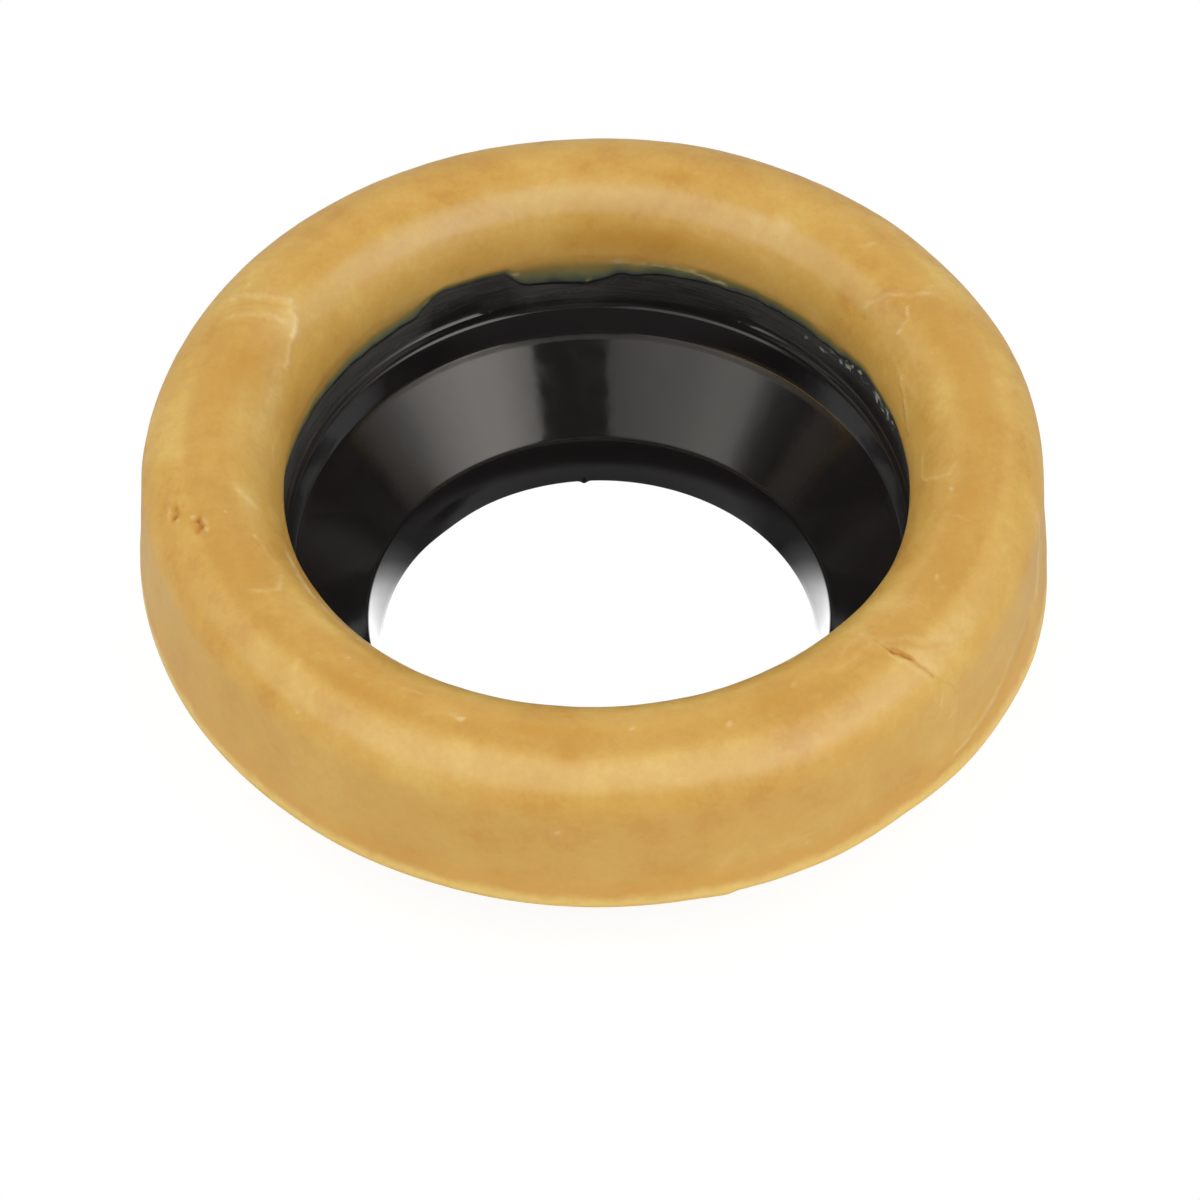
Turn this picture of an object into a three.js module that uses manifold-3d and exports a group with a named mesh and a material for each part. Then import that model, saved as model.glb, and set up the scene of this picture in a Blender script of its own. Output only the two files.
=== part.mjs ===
// Toilet pan seal: a wax ring cast round the flanged horn of a moulded polyethylene sleeve.
// Millimetres, +Z up. The origin is the centre of the horn's outlet rim, on which the seal stands.

import * as THREE from "three";
import { mergeVertices } from "three/addons/utils/BufferGeometryUtils.js";
import Module from "manifold-3d";

const wasm = await Module();
wasm.setup();

// Driving dimensions of the horn. Radii are of the bore that the waste runs through.
const outletRadius = 31.6;
const wallThickness = 1.6;
const spigotLength = 8.0;
const spigotDraft = 1.4;
const coneHeight = 12.6;
const coneFlare = 9.8;
const bandHeight = 4.1;
const bandDraft = 0.6;
const ledgeStep = 0.25;
const ledgeSpacing = 2.8;
const collarHeight = 7.3;
const brimWidth = 9.5;
const brimThickness = 1.6;
const throatRound = 2.0;
const coneFootRound = 0.5;
const ledgeRound = 0.2;
const collarMouthRound = 0.7;
const brimRound = 0.6;
const rimRound = 0.5;

// Holes through the brim, which the wax fills as it is cast.
const keyCount = 8;
const keyHoleRadius = 2.8;

// Driving dimensions of the wax ring.
const waxWidth = 17.7;
const waxBelowBrim = 10.1;
const waxAboveBrim = 11.6;
const waxWallHeight = 16.0;
const waxWallDraft = 1.4;
const crownSetback = 10.9;
const lipOverhang = 0.6;
const waxFootRound = 1.0;

// Room between the wax and the sleeve that it is cast on.
const castClearance = 0.3;
// How far a key runs into the wax above and below the brim, so that the two become one.
const keyRoot = 0.6;

const turnSegments = 80;
const crownSteps = 8;
const roundSteps = 2;
const throatSteps = 4;
const keySegments = 16;

// Heights of the horn's features above its outlet rim.
const spigotTop = spigotLength;
const coneTop = spigotTop + coneHeight;
const lowerLedge = coneTop + bandHeight;
const upperLedge = lowerLedge + ledgeSpacing;
const brimTop = upperLedge + collarHeight;
const brimUnderside = brimTop - brimThickness;

// Radii of the horn's bore at those heights, and of its outside.
const throatRadius = outletRadius + spigotDraft;
const coneTopRadius = throatRadius + coneFlare;
const bandTopRadius = coneTopRadius + bandDraft;
const ledgeRadius = bandTopRadius + ledgeStep;
const collarRadius = ledgeRadius + ledgeStep;
const collarOutside = collarRadius + wallThickness;
const brimRadius = collarOutside + brimWidth;
const keyPitchRadius = (collarOutside + brimRadius) / 2;

// The wax ring's own levels and radii, taken from the horn that carries it.
const waxBase = brimUnderside - waxBelowBrim;
const waxWallTop = waxBase + waxWallHeight;
const waxCrown = brimTop + waxAboveBrim;
const waxSeat = brimTop + castClearance;
const waxBoreBelow = collarOutside + castClearance;
const waxBaseRadius = waxBoreBelow + waxWidth;
const waxWallTopRadius = waxBaseRadius - waxWallDraft;
const waxCrownRadius = waxBaseRadius - crownSetback;
const waxLipRadius = collarRadius - lipOverhang;

const waxMaterial = new THREE.MeshStandardMaterial({ color: 0xd6ab60, roughness: 0.5, metalness: 0 });
const hornMaterial = new THREE.MeshStandardMaterial({ color: 0x1b1a1b, roughness: 0.25, metalness: 0 });

// One corner of a section: its radius, its height, and how much its edge is rounded.
function corner(radius, height, round = 0, steps = roundSteps) {
  return { at: new THREE.Vector2(radius, height), round, steps };
}

// A closed section from its corners, each rounded by an arc that is tangent to both edges.
function closedSection(corners) {
  const points = [];
  corners.forEach(({ at, round, steps }, index) => {
    const before = corners[(index + corners.length - 1) % corners.length].at;
    const after = corners[(index + 1) % corners.length].at;
    const toBefore = before.clone().sub(at).normalize();
    const toAfter = after.clone().sub(at).normalize();
    const halfAngle = Math.acos(THREE.MathUtils.clamp(toBefore.dot(toAfter), -1, 1)) / 2;
    if (round === 0 || Math.PI / 2 - halfAngle < 0.01) {
      points.push(at.clone());
      return;
    }
    const inward = toBefore.clone().add(toAfter).normalize();
    const centre = at.clone().addScaledVector(inward, round / Math.sin(halfAngle));
    const start = at.clone().addScaledVector(toBefore, round / Math.tan(halfAngle)).sub(centre);
    const end = at.clone().addScaledVector(toAfter, round / Math.tan(halfAngle)).sub(centre);
    const sweep = Math.atan2(start.cross(end), start.dot(end));
    for (let step = 0; step <= steps; step++) {
      points.push(start.clone().rotateAround(new THREE.Vector2(), (sweep * step) / steps).add(centre));
    }
  });
  points.push(points[0].clone());
  return points;
}

// A section turned about the vertical axis.
function turned(section) {
  return new THREE.LatheGeometry(section, turnSegments).rotateX(Math.PI / 2);
}

function solid(geometry) {
  const bare = geometry.clone();
  bare.deleteAttribute("normal");
  bare.deleteAttribute("uv");
  const merged = mergeVertices(bare);
  return new wasm.Manifold(
    new wasm.Mesh({
      numProp: 3,
      vertProperties: merged.attributes.position.array,
      triVerts: new Uint32Array(merged.index.array),
    }),
  );
}

function geometryOf(manifold) {
  const mesh = manifold.getMesh();
  const geometry = new THREE.BufferGeometry();
  geometry.setAttribute("position", new THREE.BufferAttribute(mesh.vertProperties, 3));
  geometry.setIndex(new THREE.BufferAttribute(mesh.triVerts, 1));
  return geometry.toNonIndexed();
}

// An upright peg at each key position round the brim.
function pegsRoundBrim(radius, bottom, top) {
  return Array.from({ length: keyCount }, (_, index) => {
    const angle = ((index + 0.5) / keyCount) * 2 * Math.PI;
    const peg = new THREE.CylinderGeometry(radius, radius, top - bottom, keySegments);
    peg.rotateX(Math.PI / 2);
    peg.translate(
      keyPitchRadius * Math.cos(angle),
      keyPitchRadius * Math.sin(angle),
      (top + bottom) / 2,
    );
    return solid(peg);
  });
}

// The horn: outlet spigot, cone, band, two fine ledges, collar and the brim that the wax grips.
function hornSection() {
  const outside = wallThickness;
  return closedSection([
    corner(outletRadius, 0, rimRound),
    corner(outletRadius + outside, 0, rimRound),
    corner(throatRadius + outside, spigotTop - outside / 2, throatRound, throatSteps),
    corner(coneTopRadius + outside, coneTop - outside / 2, throatRound),
    corner(collarOutside, lowerLedge - outside, throatRound),
    corner(collarOutside, brimUnderside, brimRound),
    corner(brimRadius, brimUnderside, brimRound),
    corner(brimRadius, brimTop, brimRound),
    corner(collarRadius, brimTop, collarMouthRound),
    corner(collarRadius, upperLedge),
    corner(ledgeRadius, upperLedge, ledgeRound, 2),
    corner(ledgeRadius, lowerLedge),
    corner(bandTopRadius, lowerLedge, ledgeRound, 2),
    corner(coneTopRadius, coneTop, coneFootRound),
    corner(throatRadius, spigotTop, throatRound, throatSteps),
  ]);
}

// A quarter of an ellipse, without its first point, from one radius and height to another.
function quarterCurve(centre, across, up, fromAngle, toAngle) {
  return Array.from({ length: crownSteps }, (_, index) => {
    const angle = fromAngle + ((toAngle - fromAngle) * (index + 1)) / crownSteps;
    return corner(centre.x + across * Math.cos(angle), centre.y + up * Math.sin(angle));
  });
}

// The wax ring: a flat base, a slightly leaning wall, a full crown that falls into the bore,
// and the slot that the horn's brim and collar fill.
function waxSection() {
  const slotBottom = brimUnderside - castClearance;
  const slotRadius = brimRadius + castClearance;
  const outerCentre = new THREE.Vector2(waxCrownRadius, waxWallTop);
  const innerCentre = new THREE.Vector2(waxCrownRadius, waxSeat);
  const outerAcross = waxWallTopRadius - waxCrownRadius;
  const innerAcross = waxCrownRadius - waxLipRadius;
  return closedSection([
    corner(waxBoreBelow, waxBase),
    corner(waxBaseRadius, waxBase, waxFootRound),
    corner(waxWallTopRadius, waxWallTop),
    ...quarterCurve(outerCentre, outerAcross, waxCrown - waxWallTop, 0, Math.PI / 2),
    ...quarterCurve(innerCentre, innerAcross, waxCrown - waxSeat, Math.PI / 2, Math.PI),
    corner(slotRadius, waxSeat),
    corner(slotRadius, slotBottom),
    corner(waxBoreBelow, slotBottom),
  ]);
}

function makeHorn() {
  const holes = pegsRoundBrim(keyHoleRadius, brimUnderside - keyRoot, brimTop + keyRoot);
  const moulded = holes.reduce((left, hole) => left.subtract(hole), solid(turned(hornSection())));
  const horn = new THREE.Mesh(geometryOf(moulded), hornMaterial);
  horn.name = "plastic_horn";
  return horn;
}

function makeWaxRing() {
  const keyRadius = keyHoleRadius - castClearance;
  const keyBottom = brimUnderside - castClearance - keyRoot;
  const keyTop = waxSeat + keyRoot;
  const keys = pegsRoundBrim(keyRadius, keyBottom, keyTop);
  const cast = keys.reduce((whole, key) => whole.add(key), solid(turned(waxSection())));
  const ring = new THREE.Mesh(geometryOf(cast), waxMaterial);
  ring.name = "wax_ring";
  return ring;
}

const seal = new THREE.Group();
seal.name = "toilet_pan_seal";
seal.add(makeHorn(), makeWaxRing());

export default seal;
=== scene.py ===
# Toilet pan seal: an amber wax ring cast round a glossy black horn, standing on a white table.

import math

import bmesh
import bpy
import numpy as np
from mathutils import Matrix, Vector


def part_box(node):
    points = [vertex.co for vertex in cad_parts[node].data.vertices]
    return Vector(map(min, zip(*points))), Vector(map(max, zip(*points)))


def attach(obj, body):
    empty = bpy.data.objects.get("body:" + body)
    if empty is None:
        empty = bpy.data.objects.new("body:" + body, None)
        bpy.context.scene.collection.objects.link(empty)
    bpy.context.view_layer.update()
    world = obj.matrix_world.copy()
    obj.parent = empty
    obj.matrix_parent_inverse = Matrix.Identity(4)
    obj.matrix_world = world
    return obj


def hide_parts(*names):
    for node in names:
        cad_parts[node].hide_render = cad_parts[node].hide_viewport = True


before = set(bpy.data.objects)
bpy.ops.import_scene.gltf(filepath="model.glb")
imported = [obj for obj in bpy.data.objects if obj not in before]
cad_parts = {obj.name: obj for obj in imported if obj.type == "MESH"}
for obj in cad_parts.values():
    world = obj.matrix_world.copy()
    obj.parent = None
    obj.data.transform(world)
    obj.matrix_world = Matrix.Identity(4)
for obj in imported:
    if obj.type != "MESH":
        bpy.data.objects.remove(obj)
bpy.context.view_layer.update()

mm = 0.001

ringLow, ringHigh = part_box("wax_ring")
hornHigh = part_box("plastic_horn")[1]
waxBase = ringLow.z / mm
waxCrown = ringHigh.z / mm
brimTop = hornHigh.z / mm
brimRadius = hornHigh.x / mm


# small helpers

def linear(hexColour):
    channels = [int(hexColour[i:i + 2], 16) / 255 for i in (1, 3, 5)]
    curve = [c / 12.92 if c <= 0.04045 else ((c + 0.055) / 1.055) ** 2.4 for c in channels]
    return (*curve, 1.0)


def addNode(tree, kind, inputs=None, **settings):
    made = tree.nodes.new("ShaderNode" + kind)
    for name, value in settings.items():
        setattr(made, name, value)
    for socket, value in (inputs or {}).items():
        if isinstance(value, bpy.types.NodeSocket):
            tree.links.new(value, made.inputs[socket])
        else:
            made.inputs[socket].default_value = value
    return made


def curveOf(tree, value, stops):
    # a smooth curve through (input, output) stops, both between 0 and 1
    made = addNode(tree, "FloatCurve", {"Value": value})
    points = made.mapping.curves[0].points
    while len(points) < len(stops):
        points.new(0.5, 0.5)
    for point, stop in zip(points, stops):
        point.location = stop
    made.mapping.update()
    return made.outputs[0]


def ramp(tree, value, *stops):
    # straight steps between stops, each with a hex colour or a plain level
    made = addNode(tree, "ValToRGB", {"Fac": value})
    points = made.color_ramp.elements
    while len(points) < len(stops):
        points.new(0.5)
    for point, (place, shown) in zip(points, stops):
        point.position = place
        point.color = linear(shown) if isinstance(shown, str) else (shown, shown, shown, 1.0)
    return made.outputs[0]


def newMaterial(name):
    material = bpy.data.materials.new(name)
    material.use_nodes = True
    material.node_tree.nodes.clear()
    return material, material.node_tree


def waves(points, wavelength, seed, count=22):
    # smooth random relief, between about -1 and 1, with bumps about half a wavelength across
    rng = np.random.default_rng(seed)
    total = np.zeros(points.shape[:-1])
    for _ in range(count):
        way = rng.normal(size=3)
        way *= 2 * np.pi / wavelength * rng.uniform(0.7, 1.3) / np.linalg.norm(way)
        total += np.cos(points @ way + rng.uniform(0, 2 * np.pi))
    return total / math.sqrt(count)


def ease(values, low, high):
    t = np.clip((values - low) / (high - low), 0, 1)
    return t * t * (3 - 2 * t)


def roundedCorners(corners):
    # a closed section: each corner is (radius, height, rounding, steps), all in mm
    points = []
    for i, (r, z, rounding, steps) in enumerate(corners):
        here = np.array([r, z])
        toBefore = np.array(corners[i - 1][:2]) - here
        toAfter = np.array(corners[(i + 1) % len(corners)][:2]) - here
        toBefore, toAfter = toBefore / np.linalg.norm(toBefore), toAfter / np.linalg.norm(toAfter)
        halfAngle = math.acos(np.clip(toBefore @ toAfter, -1, 1)) / 2
        if rounding == 0:
            points.append(here)
            continue
        inward = (toBefore + toAfter) / np.linalg.norm(toBefore + toAfter)
        centre = here + inward * rounding / math.sin(halfAngle)
        start = here + toBefore * rounding / math.tan(halfAngle) - centre
        end = here + toAfter * rounding / math.tan(halfAngle) - centre
        sweep = math.atan2(start[0] * end[1] - start[1] * end[0], start @ end)
        for turn in np.linspace(0, sweep, steps + 1):
            c, s = math.cos(turn), math.sin(turn)
            points.append(centre + [c * start[0] - s * start[1], s * start[0] + c * start[1]])
    return np.array(points)


def gridMesh(name, points, attributes):
    # points is rows round the section by columns round the axis; both close on themselves
    rows, columns = points.shape[:2]
    row, column = np.meshgrid(np.arange(rows), np.arange(columns), indexing="ij")
    nextRow, nextColumn = (row + 1) % rows, (column + 1) % columns
    corners = [(row, column), (row, nextColumn), (nextRow, nextColumn), (nextRow, column)]
    faces = np.stack([r * columns + c for r, c in corners], -1).reshape(-1, 4)
    mesh = bpy.data.meshes.new(name)
    mesh.vertices.add(rows * columns)
    mesh.vertices.foreach_set("co", (points * mm).astype(np.float32).ravel())
    mesh.loops.add(faces.size)
    mesh.loops.foreach_set("vertex_index", faces.astype(np.int32).ravel())
    mesh.polygons.add(len(faces))
    mesh.polygons.foreach_set("loop_start", np.arange(0, faces.size, 4, dtype=np.int32))
    mesh.update(calc_edges=True)
    mesh.polygons.foreach_set("use_smooth", np.ones(len(faces), bool))
    for label, values in attributes.items():
        layer = mesh.attributes.new(label, "FLOAT", "POINT")
        layer.data.foreach_set("value", values.astype(np.float32).ravel())
    mesh.validate()
    made = bpy.data.objects.new(name, mesh)
    bpy.context.scene.collection.objects.link(made)
    return made


def addPeg(shape, radius, low, high, place):
    made = bmesh.ops.create_cone(shape, cap_ends=True, segments=40, radius1=radius * mm,
                                 radius2=radius * mm, depth=(high - low) * mm)
    bmesh.ops.translate(shape, verts=made["verts"], vec=Vector((*place, (low + high) / 2)) * mm)


def keyPlaces(count, radius, shift):
    return [(shift + radius * math.cos((i + 0.5) / count * 2 * math.pi),
             radius * math.sin((i + 0.5) / count * 2 * math.pi)) for i in range(count)]


def spacedBy(low, high, count, dense):
    # steps from low to high, closer together by the given factor within each dense stretch
    fine = np.linspace(low, high, 6000)
    weight = np.ones_like(fine)
    for start, end, factor in dense:
        weight += (factor - 1) * ease(fine, start - 2, start) * ease(-fine, -end - 2, -end)
    total = np.concatenate([[0], np.cumsum((weight[1:] + weight[:-1]) / 2)])
    return np.interp(np.linspace(0, total[-1], count, endpoint=False), total, fine)


def aroundRing(table, bearings):
    bearing, value = np.array(table).T
    return np.interp(bearings, bearing, value, period=360)


# camera

cameraView = {
    "lens": 135.0,               # mm on a 36 mm sensor
    "distance": 632.9,           # mm to the centre of the wax ring's base
    "elevation": 49.89,          # degrees above the table
    "roll": -0.137,
    "baseCentrePixel": (599.05, 540.65),
    "imagePixels": 1200,
}


def makeCamera(view):
    tilt, roll = math.radians(view["elevation"]), math.radians(view["roll"])
    right = Vector((1, 0, 0))
    up = Vector((0, math.sin(tilt), math.cos(tilt)))
    back = Vector((0, -math.cos(tilt), math.sin(tilt)))
    rightRolled = math.cos(roll) * right + math.sin(roll) * up
    upRolled = -math.sin(roll) * right + math.cos(roll) * up
    half = view["imagePixels"] / 2
    focalPixels = view["lens"] / 36.0 * view["imagePixels"]
    across = (view["baseCentrePixel"][0] - half) / focalPixels * view["distance"]
    above = (half - view["baseCentrePixel"][1]) / focalPixels * view["distance"]
    place = Vector((0, 0, waxBase)) - across * rightRolled - above * upRolled + view["distance"] * back
    data = bpy.data.cameras.new("camera")
    data.lens, data.sensor_width = view["lens"], 36.0
    data.clip_start, data.clip_end = 0.01, 20.0
    camera = bpy.data.objects.new("camera", data)
    axes = Matrix((rightRolled, upRolled, back)).transposed()
    camera.matrix_world = Matrix.Translation(place * mm) @ axes.to_4x4()
    bpy.context.scene.collection.objects.link(camera)
    bpy.context.scene.camera = camera


makeCamera(cameraView)
print("camera placed")


# table, world and lamps

studio = {
    "tableRadius": 3.0,          # m, flat part
    "rimReach": 0.8,             # m that the table's edge sweeps out by
    "rimRise": 0.62,             # m that it sweeps up by
    "tableGlow": 0.87,           # share of the table's white that is its own, so shade stays faint
    "tableShade": 0.2,
    # share of the table that is plain white by mm from the axis, as shade is only seen by the seal
    "plainWhite": ((33.0, 1.0), (33.5, 0.0), (68.0, 0.0), (78.0, 1.0)),
    "tableBounce": 0.18,         # extra light that it sends up at the wax wall
    # painted light and shade on the table, seen only in gloss: how white it looks inside the outlet by mm
    # behind the axis, in a strip along the rim, and outside it by mm from the axis, painted dark where the
    # rim stands
    "insidePaintedGloss": ((-30, 2.6), (9, 2.8), (11, 2.3), (13, 1.2), (15, 0.4), (17.5, 0.1), (20, 0.15),
                       (23, 0.45), (26, 0.4), (30, 0.3)),
    "insideStrip": ((24.0, 0.04), (26.5, 1.0)),
    "outsidePaintedGloss": ((31.5, 0.15), (38.0, 0.4)),
    "rimRadius": 31.5,           # mm, where inside ends and outside begins
    "span": 80.0,                # mm that these rows are spread over, at most
    "mostMirrored": 3.0,         # the highest level that they can have
    "worldDown": 0.9,
    "worldFront": 0.06,
    "worldBehind": 0.66,
}

softboxes = {
    # bearing right of the front, elevation, width and height in degrees, and brightness from the
    # left end of the cloth to the right end
    "rightSoftbox": (62.0, 38.0, 53.4, 34.0, (
        (0.0, 2.1), (0.09, 2.8), (0.28, 3.8), (0.46, 3.3), (0.62, 2.2), (0.76, 1.1), (1.0, 0.15))),
    "leftSoftbox": (-43.0, 38.0, 55.8, 34.0, (
        (0.0, 0.1), (0.1, 0.2), (0.2, 0.9), (0.31, 2.0), (0.63, 1.5), (0.85, 1.15), (1.0, 0.9))),
    "topSoftbox": (0.0, 67.0, 38.0, 39.0, ((0.0, 1.55), (0.5, 1.5), (1.0, 1.55))),
    "leftFill": (-104.0, 40.0, 60.0, 30.0, ((0.0, 2.1), (1.0, 2.1))),
    "rightFill": (108.0, 40.0, 60.0, 30.0, ((0.0, 1.0), (1.0, 1.0))),
}
softboxDistance = 1.1            # m
lampAim = 0.03                   # m above the table, the height that the lamps face
mostCloth = 5.0                  # the highest level that a cloth can have


def makeTable(look):
    material, tree = newMaterial("white table laminate")  # an even white that still holds a shade
    path = addNode(tree, "LightPath")
    seen = addNode(tree, "Math", {0: path.outputs["Is Camera Ray"],
                                  1: path.outputs["Is Transmission Ray"]}, operation="MAXIMUM")
    glow = addNode(tree, "Emission", {"Color": linear("#ffffff"), "Strength": look["tableGlow"]})
    shade = addNode(tree, "BsdfDiffuse", {"Color": (look["tableShade"],) * 3 + (1,)})
    sight = addNode(tree, "AddShader", {0: glow.outputs[0], 1: shade.outputs[0]})
    place = addNode(tree, "TexCoord").outputs["Object"]
    reach = addNode(tree, "VectorMath", {0: place}, operation="LENGTH").outputs["Value"]
    span, most = look["span"], look["mostMirrored"]
    away = addNode(tree, "MapRange", {"Value": reach, "From Max": span * mm}).outputs[0]
    plain = ramp(tree, away, *((radius / span, share) for radius, share in look["plainWhite"]))
    white = addNode(tree, "Emission", {"Color": linear("#ffffff"), "Strength": 1.0})
    sight = addNode(tree, "MixShader", {0: plain, 1: sight.outputs[0], 2: white.outputs[0]})
    bounce = addNode(tree, "AddShader", {
        0: addNode(tree, "BsdfDiffuse", {"Color": linear("#e4e4e2")}).outputs[0],
        1: addNode(tree, "Emission", {"Strength": look["tableBounce"]}).outputs[0]})
    # painted light and shade on the table, which only glossy rays see, by place from the levels above
    apart = addNode(tree, "SeparateXYZ", {0: place})
    behind = addNode(tree, "MapRange", {"Value": apart.outputs["Y"], "From Min": -span / 2 * mm,
                                        "From Max": span / 2 * mm}).outputs[0]
    inside = ramp(tree, behind, *((depth / span + 0.5, level / most)
                                  for depth, level in look["insidePaintedGloss"]))
    strip = ramp(tree, away, *((radius / span, share) for radius, share in look["insideStrip"]))
    inside = addNode(tree, "Math", {0: inside, 1: strip}, operation="MULTIPLY").outputs[0]
    outside = ramp(tree, away, *((radius / span, level / most)
                                 for radius, level in look["outsidePaintedGloss"]))
    past = addNode(tree, "Math", {0: reach, 1: look["rimRadius"] * mm},
                   operation="GREATER_THAN").outputs[0]
    level = addNode(tree, "MixRGB", {"Fac": past, "Color1": inside, "Color2": outside}).outputs[0]
    level = addNode(tree, "Math", {0: level, 1: most}, operation="MULTIPLY")
    paintedGlossLight = addNode(tree, "Emission", {"Color": linear("#ffffff"), "Strength": level.outputs[0]})
    indirect = addNode(tree, "MixShader", {0: path.outputs["Is Glossy Ray"], 1: bounce.outputs[0],
                                           2: paintedGlossLight.outputs[0]})
    mixed = addNode(tree, "MixShader", {0: seen.outputs[0], 1: indirect.outputs[0],
                                        2: sight.outputs[0]})
    clear = addNode(tree, "BsdfTransparent")
    side = addNode(tree, "NewGeometry")
    oneSided = addNode(tree, "MixShader", {0: side.outputs["Backfacing"], 1: mixed.outputs[0],
                                           2: clear.outputs[0]})
    addNode(tree, "OutputMaterial", {"Surface": oneSided.outputs[0]})
    turns, steps = 96, 10
    sweep = [(look["tableRadius"] + look["rimReach"] * math.sin(a), look["rimRise"] * (1 - math.cos(a)))
             for a in np.linspace(0, math.pi / 2, steps)]
    points = [(0.0, 0.0, 0.0)]
    for radius, height in sweep:
        points += [(radius * math.cos(t), radius * math.sin(t), height)
                   for t in np.linspace(0, 2 * math.pi, turns, endpoint=False)]
    faces = [(0, 1 + i, 1 + (i + 1) % turns) for i in range(turns)]
    for ring in range(steps - 1):
        for i in range(turns):
            a, b = 1 + ring * turns + i, 1 + ring * turns + (i + 1) % turns
            faces.append((a, a + turns, b + turns, b))
    mesh = bpy.data.meshes.new("table")
    mesh.from_pydata(points, [], faces)
    mesh.polygons.foreach_set("use_smooth", np.ones(len(faces), bool))
    mesh.materials.append(material)
    table = bpy.data.objects.new("table", mesh)
    bpy.context.scene.collection.objects.link(table)


def makeWorld(look):
    # dark in front, where the horn mirrors it, and bright behind and below
    world = bpy.data.worlds.new("studio")
    world.use_nodes = True
    tree = world.node_tree
    tree.nodes.clear()
    way = addNode(tree, "TexCoord")
    split = addNode(tree, "SeparateXYZ", {0: way.outputs["Generated"]})
    behind = addNode(tree, "MapRange", {"Value": split.outputs["Y"], "From Min": -0.1, "From Max": 0.7})
    above = addNode(tree, "MapRange", {"Value": split.outputs["Z"], "From Min": 0.05, "From Max": 0.5})
    both = addNode(tree, "Math", {0: behind.outputs[0], 1: above.outputs[0]}, operation="MULTIPLY")
    air = addNode(tree, "MapRange", {"Value": both.outputs[0], "To Min": look["worldFront"],
                                     "To Max": look["worldBehind"]})
    low = addNode(tree, "MapRange", {"Value": split.outputs["Z"], "From Min": -0.12, "From Max": -0.04,
                                     "To Min": look["worldDown"], "To Max": 0.0})
    level = addNode(tree, "Math", {0: air.outputs[0], 1: low.outputs[0]}, operation="MAXIMUM")
    shown = addNode(tree, "Background", {"Color": linear("#fffdf9"), "Strength": level.outputs[0]})
    addNode(tree, "OutputWorld", {"Surface": shown.outputs[0]})
    bpy.context.scene.world = world


def makeSoftbox(name, bearing, elevation, width, height, cloth):
    turn, tilt = math.radians(bearing), math.radians(elevation)
    out = Vector((math.sin(turn) * math.cos(tilt), -math.cos(turn) * math.cos(tilt), math.sin(tilt)))
    data = bpy.data.lights.new(name, "AREA")
    data.shape = "RECTANGLE"
    data.size = 2 * softboxDistance * math.tan(math.radians(width / 2))
    data.size_y = 2 * softboxDistance * math.tan(math.radians(height / 2))
    data.energy = math.pi * data.size * data.size_y
    data.color = linear("#fffaf2")[:3]
    data.use_nodes = True
    tree = data.node_tree
    tree.nodes.clear()
    across = addNode(tree, "SeparateXYZ", {0: addNode(tree, "NewGeometry").outputs["Parametric"]})
    level = curveOf(tree, across.outputs["X"], [(place, level / mostCloth) for place, level in cloth])
    level = addNode(tree, "Math", {0: level, 1: mostCloth}, operation="MULTIPLY")
    addNode(tree, "OutputLight", {"Surface": addNode(
        tree, "Emission", {"Strength": level.outputs[0]}).outputs[0]})
    lamp = bpy.data.objects.new(name, data)
    lamp.location = out * softboxDistance + Vector((0, 0, lampAim))
    lamp.rotation_mode = "QUATERNION"
    lamp.rotation_quaternion = out.to_track_quat("Z", "Y")
    lamp.visible_camera = False
    lamp.visible_glossy = not name.endswith("Fill")  # the fills light the wax and are not mirrored
    bpy.context.scene.collection.objects.link(lamp)


makeTable(studio)
makeWorld(studio)
for name, softbox in softboxes.items():
    makeSoftbox(name, *softbox)
bpy.context.scene.view_settings.view_transform = "Standard"
print("table, world and lamps made")


# horn

horn = {                         # mm, from the outlet rim up
    "outletRadius": 31.45, "wall": 1.6, "spigotTop": 8.0, "throatRadius": 33.0,
    "coneTop": 20.6, "coneTopRadius": 42.8, "lowerLedge": 25.1, "bandTopRadius": 43.4,
    "upperLedge": 26.85, "ledgeStep": 0.3, "ledgeTilt": 0.27, "throatRound": 2.4,
    "columns": 620, "rowSpacing": 1.1,
    "keyCount": 8, "keyHoleRadius": 2.8,
    # the gate's broken nub on the outlet rim, and where the rim is a little out of round
    "nubBearing": 94.0, "nubSize": 0.5, "swellBearing": 135.0, "swell": 0.26,
    # bearings between which wax fills the upper ledge
    "filledFrom": 62.0, "filledTo": 113.0,
    "castShift": -0.3,           # how far the collar and the wax stand off the outlet's axis in X
}
horn["collar"] = horn["bandTopRadius"] + 2 * horn["ledgeStep"]
horn["collarOutside"] = horn["collar"] + horn["wall"]
horn["brimUnderside"] = brimTop - horn["wall"]
horn["keyPitch"] = (horn["collarOutside"] + brimRadius) / 2

# how low the wax's ragged lip hangs down the collar: bearing, and height above the outlet rim
lipLevels = (
    (-180, 32.6), (-150, 33.4), (-90, 33.8), (-30, 33.2), (0, 32.4), (9, 32.0), (15, 33.3), (23, 33.2),
    (31, 33.6), (38, 32.2), (44, 32.0), (51, 32.5), (60, 32.6), (70, 32.6), (80, 32.2), (86, 31.6),
    (89, 30.2), (92, 29.6), (97, 29.8), (103, 30.2), (105, 31.4), (107.5, 33.6), (115, 34.1), (122.5, 34.0),
    (126, 31.4), (132, 31.0), (147, 30.8), (169, 31.0),
)
# how far up from that lip the wax is thin enough for the black to show through it
thinWidths = (
    (-180, 2.2), (0, 2.2), (20, 2.8), (45, 3.2), (60, 3.4), (66, 3.6), (86, 3.8), (91, 5.6), (103, 5.4),
    (107, 2.0), (122, 2.0), (127, 3.8), (150, 3.2), (170, 2.4),
)


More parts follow.
